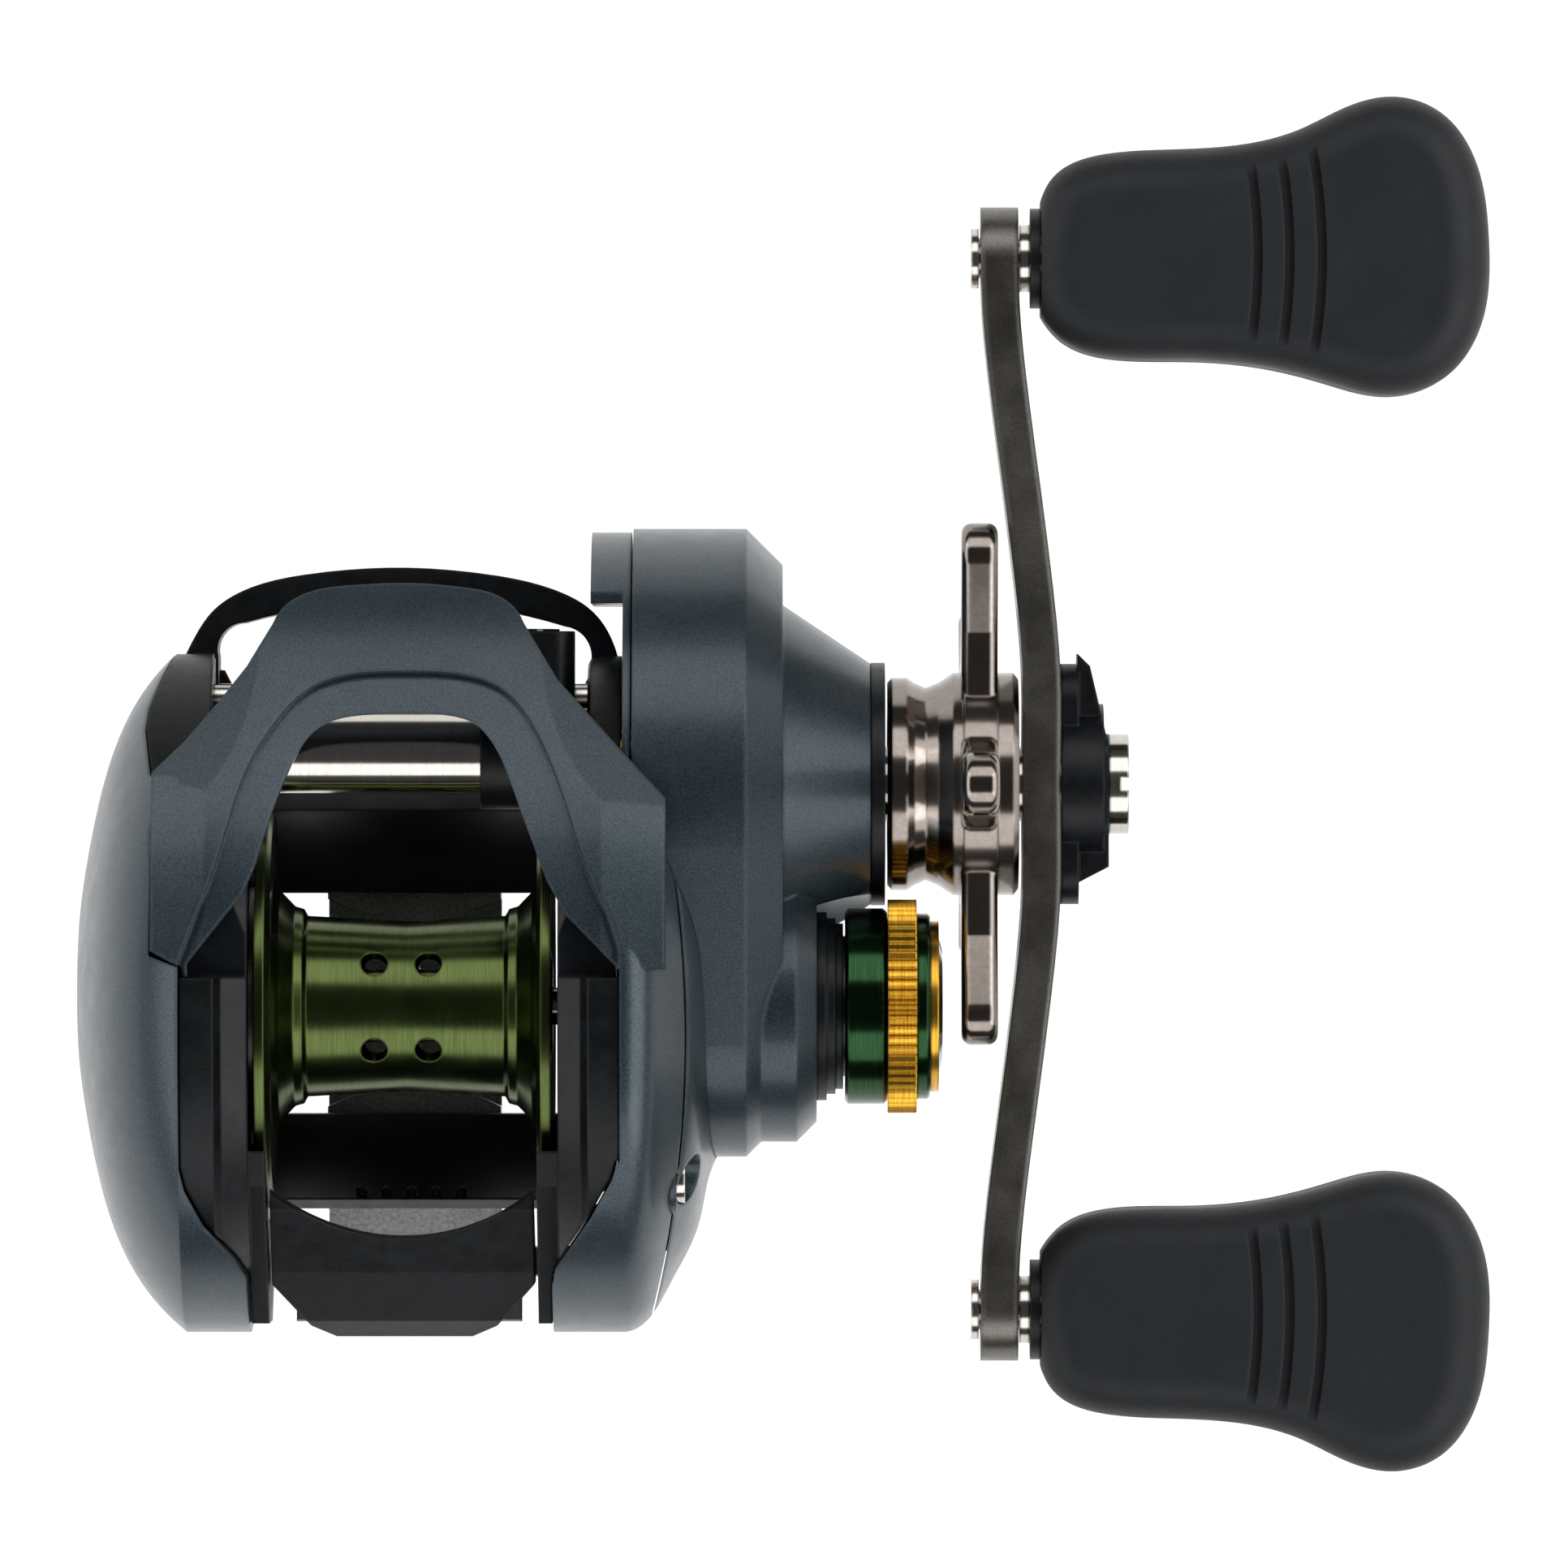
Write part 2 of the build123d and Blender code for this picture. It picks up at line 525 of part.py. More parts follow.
def foot_screws():
    screws = []
    for x, y in FOOT_SCREWS:
        head = upright(x, y, 0.3, 1.5, FOOT_HEAD_R) - Pos(x, y, 0.4) * Box(3.0, 0.6, 0.8)
        screws.append(head + upright(x, y, 1.4, 8.5, FOOT_SCREW_R))
    return Compound(children=screws)


def hood_node():
    arch = hood_form() - hood_form(HOOD_T)
    arch = arch & extrude(Pos(0, 0, 20) * hood_plan_face(), 40)
    ledge = hood_form() - hood_form(LEDGE_DROP)
    arch = arch - (ledge & arch_slab(LEDGE_ARCH, LEDGE_FOOT, 30, 60))
    arch = arch - arch_slab(OPENING_ARCH, OPENING_FOOT, 15, 60)
    arch = arch - facet_cutter(RIDGE_LEFT, -1) - facet_cutter(RIDGE_RIGHT, 1)
    # outside skirt of the palm-side leg
    skirt = hood_form() & plan_slab([(-19.8, 4.6), (-19.8, 18.4), (-17.62, 18.4), (-17.62, 3.4)], 40, 60)
    cheek = body_loft(RIGHT_DOME) & cheek_side()
    room = body_loft(RIGHT_ROOM)
    cheek = cheek - room
    horn = (extrude(body_face(11.4, 1.0), 5.7) & horn_region(1)) - carrier_slot()
    hood = arch + skirt + cheek + horn
    hood = hood - case_form(SEAM) - rod(17, 18.5, CASE_R - 0.2 + SEAM, DRIVE_AXIS)
    for axis in COVER_SCREWS:
        hood = hood - rod(11, 18, COVER_SCREW_R + THREAD, axis) - rod(17.5, 30, COVER_BOSS_R + SEAM, axis)
    return hood


def right_shell_node():
    shell = body_loft(RIGHT_DOME) - body_loft(RIGHT_ROOM)
    shell = shell - cheek_side(shift=SEAM)
    shell = shell - case_form(SEAM)
    for axis in COVER_SCREWS:
        shell = shell + rod(17.85, 21.4, COVER_BOSS_R, axis)
        shell = shell - rod(21.0, 30, COVER_HEAD_R + 0.1, axis) - rod(16, 22, COVER_SCREW_R + THREAD, axis)
    return shell


def palm_plate_node(hood):
    dome = body_loft(PALM_DOME)
    horn = extrude(body_face(-17.65, 1.0), 6.2) & horn_region(-1)
    plate = dome + horn
    plate = plate - body_loft(PALM_ROOM) - rod(-18, -11, HOUSING_R, SPOOL_AXIS)
    column = [(x - SEAM * 1.5, y - SEAM) for x, y in COLUMN_PLAN[:6]]
    plate = plate - plan_slab(column + [(-15, 34)], HOOP_Z[0] - 1.5, 60)
    seam = HOOD_PLAN_LEFT[0][0] - SEAM
    plate = plate - hood - plan_slab([(seam, 4.2), (seam, 18.6), (-17.0, 18.6), (-17.0, 3.1)], 40, 60)
    plate = plate - rod(-30, -17, DIAL_R + 0.15, DIAL_AXIS)
    boss = rod(-22.0, -17.7, 2.9, PALM_SCREW) & dome
    plate = plate + boss - rod(-30, -19.4, PALM_HEAD_R + 0.1, PALM_SCREW)
    plate = plate - rod(-30, -11, PALM_SCREW_R + THREAD, PALM_SCREW)
    return plate


def gear_case_node():
    neck_end = NECK_OUT - NECK_RING_T
    neck = turned([(CASE_OUT - 2, 0), (CASE_OUT - 2, NECK_ROOT_R + 1), (CASE_OUT, NECK_ROOT_R),
                   (neck_end, NECK_R), (neck_end, 0)], DRIVE_AXIS)
    neck = neck - rod(LOBE_OUT, 40, CAST_CAP_R + 1.1, SPOOL_AXIS)
    case = case_form() + neck + rod(LOBE_OUT - 1, 35.8, CAST_BOSS_R, SPOOL_AXIS)
    case = case - case_room()
    # way for the clutch cam's lever
    case = case - block(17, 19.2, -14, -7, 17.5, 30)
    # bearing seats
    case = case - rod(27, 36.4, DRIVE_BEARING_R + RUN, DRIVE_AXIS) - rod(36, 39, SLEEVE_R + 1.0, DRIVE_AXIS)
    case = case - rod(28, 31.0, PINION_BEARING_R + RUN, SPOOL_AXIS)
    case = case - rod(30, 37, PINION_TAIL_R + 0.2, SPOOL_AXIS)
    return case - rod(33.4, 37, SPOOL_BEARING_R + RUN, SPOOL_AXIS)


def gear_set_plate_node():
    plate = extrude(body_face(17.15, 0.895), 0.61) + rod(17.15, 17.76, CASE_R - 0.3, DRIVE_AXIS)
    shoulder = rod(14.6, 17.2, CASE_R - 0.3, DRIVE_AXIS) & block(14, 18, 32.0, 40, 8, 34)
    plate = plate + shoulder
    plate = plate - rod(16, 19, PINION_HEAD_R + 1.0, SPOOL_AXIS)
    plate = plate - rod(16, 19, DRIVE_SHAFT_R + 0.6, DRIVE_AXIS)
    plate = plate - rod(16, 19, WORM_TAIL_R + 0.9, WORM_AXIS)
    for axis in COVER_SCREWS:
        plate = plate - rod(16, 19, COVER_SCREW_R + THREAD, axis)
    return plate - carrier_slot()


def bearing(x0, x1, r_out, r_in, axis):
    """Ball bearing as outer race, shield and inner race in one closed ring."""
    mid = (r_out + r_in) / 2
    half = (r_out - r_in) * 0.18
    profile = [
        (x0, r_in), (x0, mid - half), (x0 + 0.2, mid - half), (x0 + 0.2, mid + half), (x0, mid + half),
        (x0, r_out), (x1, r_out), (x1, mid + half), (x1 - 0.2, mid + half), (x1 - 0.2, mid - half),
        (x1, mid - half), (x1, r_in),
    ]
    return turned(profile, axis)


# ---------------------------------------------------------------- palm side: brake unit
def brake_housing_node():
    body = rod(-16.9, -12.45, HOUSING_R - RUN, SPOOL_AXIS) - rod(-15.6, -11, BRAKE_ROOM_R, SPOOL_AXIS)
    body = body + rod(-20.9, -16, SPOOL_BEARING_R + 1.95, SPOOL_AXIS)
    body = body - rod(-20.3, -15, SPOOL_BEARING_R + RUN, SPOOL_AXIS)
    body = body - ring(-13.2, -12, HOUSING_R - 1.8, HOUSING_R - 2.4, SPOOL_AXIS)
    return body - rod(-18, -16, DIAL_STEM_R + 0.1, DIAL_AXIS)


def brake_dial_node():
    dial = rod(-23.9, -20.4, DIAL_R, DIAL_AXIS)
    dial = dial - rod(-25, -23.2, DIAL_R - 0.9, DIAL_AXIS)
    grip = Pos(-23.2, DIAL_AXIS[0], DIAL_AXIS[1]) * Box(1.4, 1.6, 2 * (DIAL_R - 1.0))
    stem = rod(-20.5, -17.1, DIAL_STEM_R, DIAL_AXIS)
    return dial + grip + stem


def palm_side():
    return {
        "brake_housing": brake_housing_node(),
        "brake_coil_board": Compound(children=[
            ring(-15.55, -13.1, BRAKE_ROOM_R - RUN, BRAKE_ROOM_R - 1.1, SPOOL_AXIS),
            ring(-17.75, -16.95, 14.6, SPOOL_BEARING_R + 2.05, SPOOL_AXIS)
                - rod(-19, -15, DIAL_STEM_R + 0.1, DIAL_AXIS),
        ]),
        "brake_dial": brake_dial_node(),
        "palm_screw": rod(-20.4, -19.4, PALM_HEAD_R, PALM_SCREW) + rod(-19.5, -14.1, PALM_SCREW_R, PALM_SCREW)
        - Pos(-20.4, *PALM_SCREW) * Box(0.8, 0.6, 5),
    }


# ---------------------------------------------------------------- spool
def spool_node():
    left_in = SPOOL_LEFT + FLANGE_T
    right_in = SPOOL_RIGHT - FLANGE_T
    mid = (SPOOL_LEFT + SPOOL_RIGHT) / 2
    outer = [
        (SPOOL_LEFT, SPOOL_SHAFT_R), (SPOOL_LEFT, 3.4), (SPOOL_LEFT + 0.5, 6.0), (SPOOL_LEFT + 0.5, 13.6),
        (SPOOL_LEFT, 15.2), (SPOOL_LEFT, FLANGE_R), (left_in, FLANGE_R), (left_in, 15.6),
        (left_in + 0.35, 15.2), (left_in + 0.35, 10.4), (left_in + 0.8, 9.2),
        (left_in + 2.0, DRUM_R + 0.75), (left_in + 2.7, DRUM_R + 0.55), (left_in + 3.0, DRUM_R),
        (mid, DRUM_R - DRUM_WAIST), (right_in - 3.0, DRUM_R), (right_in - 2.7, DRUM_R + 0.55),
        (right_in - 2.0, DRUM_R + 0.75), (right_in - 0.8, 9.2), (right_in - 0.35, 10.4),
        (right_in - 0.35, 15.2), (right_in, 15.6), (right_in, FLANGE_R), (SPOOL_RIGHT, FLANGE_R),
        (SPOOL_RIGHT, 15.2), (SPOOL_RIGHT - 0.5, 13.6), (SPOOL_RIGHT - 0.5, 6.0), (SPOOL_RIGHT, 3.4),
        (SPOOL_RIGHT, SPOOL_SHAFT_R),
    ]
    spool = turned(outer, SPOOL_AXIS)
    room = turned([
        (SPOOL_LEFT + 2.2, 3.0), (SPOOL_LEFT + 2.6, DRUM_R - DRUM_WAIST - DRUM_WALL),
        (SPOOL_RIGHT - 2.6, DRUM_R - DRUM_WAIST - DRUM_WALL), (SPOOL_RIGHT - 2.2, 3.0),
    ], SPOOL_AXIS)
    spool = spool - room
    for x in SPOOL_HOLE_ROWS:
        for i in range(6):
            hole = Rot(30 + 60 * i, 0, 0) * Pos(x, 0, 5.5) * Cylinder(SPOOL_HOLE_R, 6)
            spool = spool - Pos(0, *SPOOL_AXIS) * hole
    return spool


def spool_assembly():
    r = SPOOL_SHAFT_R
    shaft = turned([(-20.2, 0), (-20.2, r - 0.3), (-19.9, r), (35.2, r), (35.6, r - 0.5), (35.6, 0)],
                   SPOOL_AXIS)
    pin_hole = Pos(18.15, *SPOOL_AXIS) * Cylinder(0.5, 2 * PINION_HEAD_R - 1.4)
    rotor_r = BRAKE_ROOM_R - 1.5
    rotor = ring(-15.0, -12.1, rotor_r, SPOOL_SHAFT_R, SPOOL_AXIS)
    rotor = rotor - ring(-16, -12.9, rotor_r - 1.3, SPOOL_SHAFT_R + 1.7, SPOOL_AXIS)
    return {
        "spool": spool_node(),
        "spool_shaft": shaft - pin_hole,
        "spool_pin": pin_hole,
        "brake_rotor": rotor,
    }


# ---------------------------------------------------------------- drive train
def gears():
    big = spur_gear(GEAR_MODULE, GEAR_TEETH, GEAR_LEAN + 180, *GEAR_X, DRIVE_AXIS)
    big = big - rod(GEAR_X[0] - 1, GEAR_X[1] + 1, DRIVE_SHAFT_R, DRIVE_AXIS)
    big = big - rod(24.4, 28, DRAG_R + 0.4, DRIVE_AXIS)
    pinion_phase = GEAR_LEAN + 180 / PINION_TEETH
    pinion = spur_gear(GEAR_MODULE, PINION_TEETH, pinion_phase, *PINION_X, SPOOL_AXIS, 0.9)
    pinion = pinion + rod(PINION_X[1] - 0.1, PINION_X[1] + 3.5, PINION_TAIL_R, SPOOL_AXIS)
    pinion = pinion + rod(20.8, 21.5, PINION_HEAD_R - 0.2, SPOOL_AXIS)
    pinion = pinion + rod(19.5, 20.9, PINION_NECK_R, SPOOL_AXIS) + rod(17.3, 19.6, PINION_HEAD_R, SPOOL_AXIS)
    pinion = pinion - rod(16, 32, SPOOL_SHAFT_R + RUN, SPOOL_AXIS)
    pinion = pinion - Pos(17.9, *SPOOL_AXIS) * Box(1.7, 1.2, 10)
    wind = spur_gear(WIND_MODULE, WIND_DRIVE_TEETH, WIND_LEAN, *WIND_X, DRIVE_AXIS)
    wind = wind - rod(17, 21, DRIVE_SHAFT_R, DRIVE_AXIS)
    worm_gear = spur_gear(WIND_MODULE, WORM_GEAR_TEETH, WIND_LEAN + 180 + 180 / WORM_GEAR_TEETH, *WIND_X,
                          WORM_AXIS)
    worm_gear = worm_gear - rod(17, 21, WORM_TAIL_R, WORM_AXIS)
    return {"drive_gear": big, "pinion_gear": pinion, "levelwind_drive_gear": wind, "worm_gear": worm_gear}


def drive_shaft_node():
    r = DRIVE_SHAFT_R
    flange = r + 3.5
    return turned([
        (13.5, 0), (13.5, DRIVE_TAIL_R), (15.8, DRIVE_TAIL_R), (15.8, r), (21.2, r), (21.2, flange),
        (22.2, flange), (22.2, r), (55.0, r), (55.3, r - 0.4), (55.3, 0),
    ], DRIVE_AXIS) - rod(50, 56, RETAINER_R, DRIVE_AXIS)


def drag_washers_node():
    discs = []
    for i in range(3):
        x = 24.45 + 0.55 * i
        discs.append(ring(x, x + 0.45, DRAG_R - 0.3 * (i % 2), DRIVE_SHAFT_R, DRIVE_AXIS))
    return Compound(children=discs)


def drag_springs_node():
    """Pair of cupped washers, back to back."""
    cups = []
    for i, flip in ((0, 1), (1, -1)):
        x = 38.5 + 0.95 * i
        tilt = 0.3 * flip
        cups.append(turned([
            (x - tilt, DRIVE_SHAFT_R), (x + 0.4 - tilt, DRIVE_SHAFT_R), (x + 0.4 + tilt, SPRING_R),
            (x + tilt, SPRING_R)
        ], DRIVE_AXIS))
    return Compound(children=cups)


def star_node():
    hub = turned([
        (38.15, STAR_BORE_R), (38.15, HUB_R - 0.4), (38.5, HUB_R), (39.7, HUB_R), (40.3, HUB_R - 0.4),
        (41.2, HUB_R - 0.8), (42.2, HUB_R - 0.4), (42.8, HUB_R), (43.4, HUB_R + 0.4),
        (STAR_IN + 0.2, HUB_R + 0.4), (STAR_IN + 0.2, HUB_R + 0.8), (STAR_IN + STAR_T, HUB_R + 0.8),
        (STAR_IN + STAR_T, HUB_R + 0.4), (48.2, HUB_R + 0.4), (48.6, HUB_R - 0.1),
        (48.6, DRIVE_SHAFT_R + 0.3), (43.0, DRIVE_SHAFT_R + 0.3), (43.0, STAR_BORE_R),
    ], DRIVE_AXIS)
    arms = []
    for i in range(5):
        edge = (
            Polyline((-3.9, 7.5), (-3.4, 10.5), (-2.7, 13.5), (-2.5, STAR_R - 2.5))
            + ThreePointArc((-2.5, STAR_R - 2.5), (0, STAR_R), (2.5, STAR_R - 2.5))
            + Polyline((2.5, STAR_R - 2.5), (2.7, 13.5), (3.4, 10.5), (3.9, 7.5), (-3.9, 7.5))
        )
        arm = extrude(Plane.YZ.offset(STAR_IN) * make_face(edge), STAR_T)
        arm = fillet(arm.faces().sort_by(Axis.X)[0].edges(), 0.8)
        arm = fillet(arm.faces().sort_by(Axis.X)[-1].edges(), 0.8)
        arms.append(Pos(0, *DRIVE_AXIS) * (Rot(72 * i, 0, 0) * arm))
    return joined([hub] + arms)


def hex_form(x0, x1, across_r, axis):
    corners = [(across_r * cos(radians(60 * i)), across_r * sin(radians(60 * i))) for i in range(6)]
    return Pos(0, *axis) * side_slab(corners, x0, x1)


def hex_nut(x0, x1, across_r, bore_r, axis):
    return hex_form(x0, x1, across_r, axis) - rod(x0 - 1, x1 + 1, bore_r, axis)


# sweep of the handle arm as (share of the arm's length, share of the sweep)
ARM_CURVE = [(0, 0.0), (0.214, 0.0), (0.357, 0.152), (0.571, 0.485), (0.786, 0.833), (0.905, 0.97),
             (1.0, 1.0)]


def arm_side(offset):
    half = [(ARM_IN + offset - drop * ARM_SWEEP, share * HANDLE_ARM) for share, drop in ARM_CURVE]
    half.append((ARM_IN + offset - ARM_SWEEP, HANDLE_ARM + ARM_END_R + 0.3))
    return [(x, -dy) for x, dy in reversed(half[1:])] + half


def handle_arm_node():
    inner = arm_side(0.0)
    outer = arm_side(ARM_T)
    wire = (
        Spline(*inner) + Line(inner[-1], outer[-1]) + Spline(*reversed(outer)) + Line(outer[0], inner[0])
    )
    strip = extrude(Pos(0, 0, -10) * make_face(wire), 20)
    hub = ARM_HUB_W / 2
    r = ARM_END_R
    tip = HANDLE_ARM + r
    waist = r + 0.2
    mid = 0.62 * HANDLE_ARM
    root = 0.286 * HANDLE_ARM
    outline = (
        ThreePointArc((-HANDLE_ARM, r), (-tip, 0), (-HANDLE_ARM, -r))
        + Spline((-HANDLE_ARM, -r), (-mid, -waist), (-root, -hub + 0.5), (0, -hub), (root, -hub + 0.5),
                 (mid, -waist), (HANDLE_ARM, -r))
        + ThreePointArc((HANDLE_ARM, -r), (tip, 0), (HANDLE_ARM, r))
        + Spline((HANDLE_ARM, r), (mid, waist), (root, hub - 0.5), (0, hub), (-root, hub - 0.5),
                 (-mid, waist), (-HANDLE_ARM, r))
    )
    plate = extrude(Plane.YZ.offset(ARM_IN - 8) * make_face(outline), 16)
    arm = strip & plate
    arm = arm - rod(-1 + ARM_IN, ARM_IN + ARM_T + 1, DRIVE_SHAFT_R, (0, 0))
    for side in (1, -1):
        arm = arm - rod(ARM_IN - 6, ARM_IN + 3, SPINDLE_TAIL_R, (side * HANDLE_ARM, 0))
    return Pos(0, *DRIVE_AXIS) * arm


# knob outline in plan as (share of its length, share of its half width): the side away from the
# handle's middle, then the side towards it
KNOB_OUTER_EDGE = [
    (0.0, 0.535), (0.042, 0.802), (0.157, 0.965), (0.297, 1.0), (0.451, 1.047), (0.577, 1.186),
    (0.689, 1.407), (0.79, 1.488), (0.894, 1.337), (0.969, 0.907), (1.0, 0.174),
]
KNOB_INNER_EDGE = [
    (0.983, -0.628), (0.902, -1.116), (0.773, -1.279), (0.633, -1.151), (0.493, -1.012), (0.325, -0.953),
    (0.157, -0.93), (0.05, -0.779), (0.0, -0.535),
]
GROOVE_PLACES = (0.482, 0.553, 0.625)   # shares of the knob's length
GROOVE_R = 46.0


def knob_node(side):
    length = KNOB_OUT - KNOB_IN
    points = [(KNOB_IN + a * length, side * b * KNOB_HALF) for a, b in KNOB_OUTER_EDGE + KNOB_INNER_EDGE]
    face = make_face(Spline(*points, periodic=True))
    grip = extrude(Pos(0, 0, -KNOB_T / 2) * face, KNOB_T)
    grip = fillet(grip.faces().sort_by(Axis.Z)[-1].edges(), KNOB_T / 4)
    grip = fillet(grip.faces().sort_by(Axis.Z)[0].edges(), KNOB_T / 4)
    core = Pos((KNOB_IN + KNOB_OUT) / 2, 0, 0) * Box(60, 60, KNOB_T - 1.0)
    for share in GROOVE_PLACES:
        x = KNOB_IN + share * length
        bow = Cylinder(GROOVE_R + 0.35, KNOB_T + 2) - Cylinder(GROOVE_R - 0.35, KNOB_T + 2)
        groove = (Pos(x - GROOVE_R, 0, 0) * bow & Pos(x, 0, 0) * Box(12, 30, 20)) - core
        grip = grip - groove
    grip = grip - block(KNOB_IN - 10, KNOB_IN, -10, 10, -10, 10)
    grip = grip - rod(KNOB_IN - 1, 70, BUSH_R, (0, 0)) - rod(69, KNOB_OUT + 4, CAP_R, (0, 0))
    return Pos(0, DRIVE_AXIS[0] + side * HANDLE_ARM, DRIVE_AXIS[1]) * grip


def knob_assembly(name, side):
    axis = (DRIVE_AXIS[0] + side * HANDLE_ARM, DRIVE_AXIS[1])
    bore = SPINDLE_R + RUN
    bushes = Compound(children=[
        ring(KNOB_IN + 0.2, KNOB_IN + 3.0, BUSH_R, bore, axis),
        ring(SPINDLE_END - 3.4, SPINDLE_END - 0.6, BUSH_R, bore, axis),
        ring(KNOB_IN - 0.85, KNOB_IN - 0.05, BUSH_R + 1.3, bore, axis),
    ])
    return {
        f"knob_{name}": knob_node(side),
        f"knob_cap_{name}": rod(KNOB_OUT - 2.7, KNOB_OUT - 0.15, CAP_R, axis),
        f"knob_bushings_{name}": bushes,
    }


def handle_parts():
    spindles = []
    screws = []
    for side in (1, -1):
        axis = (DRIVE_AXIS[0] + side * HANDLE_ARM, DRIVE_AXIS[1])
        seat = ARM_IN - ARM_SWEEP
        face = seat + ARM_T + 0.1
        spindle = rod(face, SPINDLE_END, SPINDLE_R, axis) + rod(seat - 0.5, face + 0.1, SPINDLE_TAIL_R, axis)
        spindle = spindle + rod(face, face + 0.8, SPINDLE_R + 0.7, axis)
        spindle = spindle + rod(seat - 0.75, seat - 0.15, SPINDLE_R + 0.4, axis)
        spindles.append(spindle - rod(SPINDLE_END - 4.4, SPINDLE_END + 1, 0.8, axis))
        head = rod(SPINDLE_END + 0.05, SPINDLE_END + 1.2, KNOB_SCREW_R, axis)
        head = head - Pos(SPINDLE_END + 1.2, *axis) * Box(1.0, 2.6, 0.5)
        screws.append(head + rod(SPINDLE_END - 4.2, SPINDLE_END + 0.1, 0.8, axis))
    cover = Pos(0, *DRIVE_AXIS) * (
        side_slab([(-9.6, -4.4), (9.6, -4.4), (9.6, 4.4), (-9.6, 4.4)], 52.0, 53.4, 3.0)
        + side_slab([(-4.7, -3.9), (4.0, -3.9), (4.0, 3.9), (-4.7, 3.9)], 53.3, 55.8, 2.0)
    )
    lug = plan_slab([(53.3, 10.4), (53.3, -7.9), (55.8, -6.6), (55.8, 3.0), (54.3, 9.4)], -3.4, 3.4)
    cover = cover + Pos(0, *DRIVE_AXIS) * lug
    cover = cover + rod(52.0, 55.4, 6.4, DRIVE_AXIS)
    return {
        "drive_shaft": drive_shaft_node(),
        "drag_washers": drag_washers_node(),
        "clutch_sleeve": ring(28.0, 37.8, SLEEVE_R, DRIVE_SHAFT_R, DRIVE_AXIS),
        "drag_spring_washers": drag_springs_node(),
        "handle_arm": handle_arm_node(),
        "handle_nut": hex_nut(52.0, 54.3, NUT_R, DRIVE_SHAFT_R, DRIVE_AXIS),
        "handle_nut_cover": cover - hex_form(51.0, 54.4, NUT_R + 0.1, DRIVE_AXIS)
            - rod(51, 56.5, DRIVE_SHAFT_R + 0.2, DRIVE_AXIS),
        "retainer_screw": rod(55.85, 57.4, DRIVE_SHAFT_R + 1.0, DRIVE_AXIS)
            + rod(50.4, 55.9, RETAINER_R, DRIVE_AXIS)
        - Pos(57.4, *DRIVE_AXIS) * Box(1.2, 1.0, 9),
        "knob_spindles": Compound(children=spindles),
        "knob_screws": Compound(children=screws),
    }


# ---------------------------------------------------------------- cast control
def cast_control():
    bore = CAST_BOSS_R + 0.15
    waist = CAST_CAP_R - 0.8
    cap = turned([
        (34.75, bore), (34.75, CAST_CAP_R - 0.3), (35.0, CAST_CAP_R), (37.8, CAST_CAP_R),
        (38.1, CAST_CAP_R - 0.3), (38.1, waist), (40.5, waist), (40.5, CAST_CAP_R - 0.4),
        (41.3, CAST_CAP_R - 0.4), (41.5, CAST_CAP_R - 0.6), (41.5, 0), (36.8, 0), (36.8, bore),
    ], SPOOL_AXIS)
    badge_r = CAST_CAP_R - 1.9
    teeth = 64
    knurl = []
    for i in range(2 * teeth):
        r = CAST_CAP_R + (0.7 if i % 2 else 0.35)
        a = pi * i / teeth
        knurl.append((r * cos(a), r * sin(a)))
    knurl_ring = Pos(0, *SPOOL_AXIS) * side_slab(knurl, 38.15, 40.45) - rod(38, 41, waist, SPOOL_AXIS)
    return {
        "cast_control_cap": cap,
        "cast_control_rings": Compound(children=[knurl_ring,
                                                 ring(41.55, 42.2, badge_r + 0.9, badge_r, SPOOL_AXIS)]),
        "cast_control_badge": turned([
            (41.5, 0), (41.5, badge_r), (42.1, badge_r), (42.5, badge_r - 1.4), (42.6, 0),
        ], SPOOL_AXIS),
        "cast_friction_washer": rod(35.75, 36.75, SPOOL_SHAFT_R + 1.3, SPOOL_AXIS),
        "cast_control_collar": turned([
            (LOBE_OUT, CAST_BOSS_R + RUN), (LOBE_OUT, CAST_CAP_R - 0.3), (33.3, CAST_CAP_R - 0.3),
            (33.3, waist), (34.0, waist), (34.0, waist - 0.4), (34.6, waist - 0.4), (34.6, CAST_BOSS_R + RUN),
        ], SPOOL_AXIS),
    }


# ---------------------------------------------------------------- levelwind
def levelwind():
    x0, x1 = -WORM_BEAR_X, WORM_BEAR_X
    tube = ring(x0, x1, TUBE_R, TUBE_BORE_R, WORM_AXIS)
    wy, wz = WORM_AXIS
    slot = block(WINDOW_LEFT + 2.0, WINDOW_RIGHT - 0.6, wy - PAWL_R - 0.2, wy + PAWL_R + 0.2,
                 wz - TUBE_R - 0.75, wz)
    nose_r = WORM_R - 0.8
    worm = turned([
        (x0 + 0.2, 0), (x0 + 0.2, nose_r), (x0 + 1.8, nose_r), (x0 + 1.8, WORM_R), (x1 - 1.6, WORM_R),
        (x1 - 1.6, WORM_TAIL_R), (20.6, WORM_TAIL_R), (20.6, 0),
    ], WORM_AXIS)
    ends = [(x0 + 0.05, x0 + 1.7, nose_r), (x1 - 1.5, x1 - 0.05, WORM_TAIL_R)]
    bushes = Compound(children=[ring(a, b, TUBE_BORE_R, r + RUN, WORM_AXIS) for a, b, r in ends])
    return {
        "worm_guard_tube": tube - slot,
        "worm_shaft": worm,
        "worm_bushings": bushes,
        "guide_rod": rod(x0, x1, GUIDE_ROD_R, GUIDE_ROD_AXIS),
    }


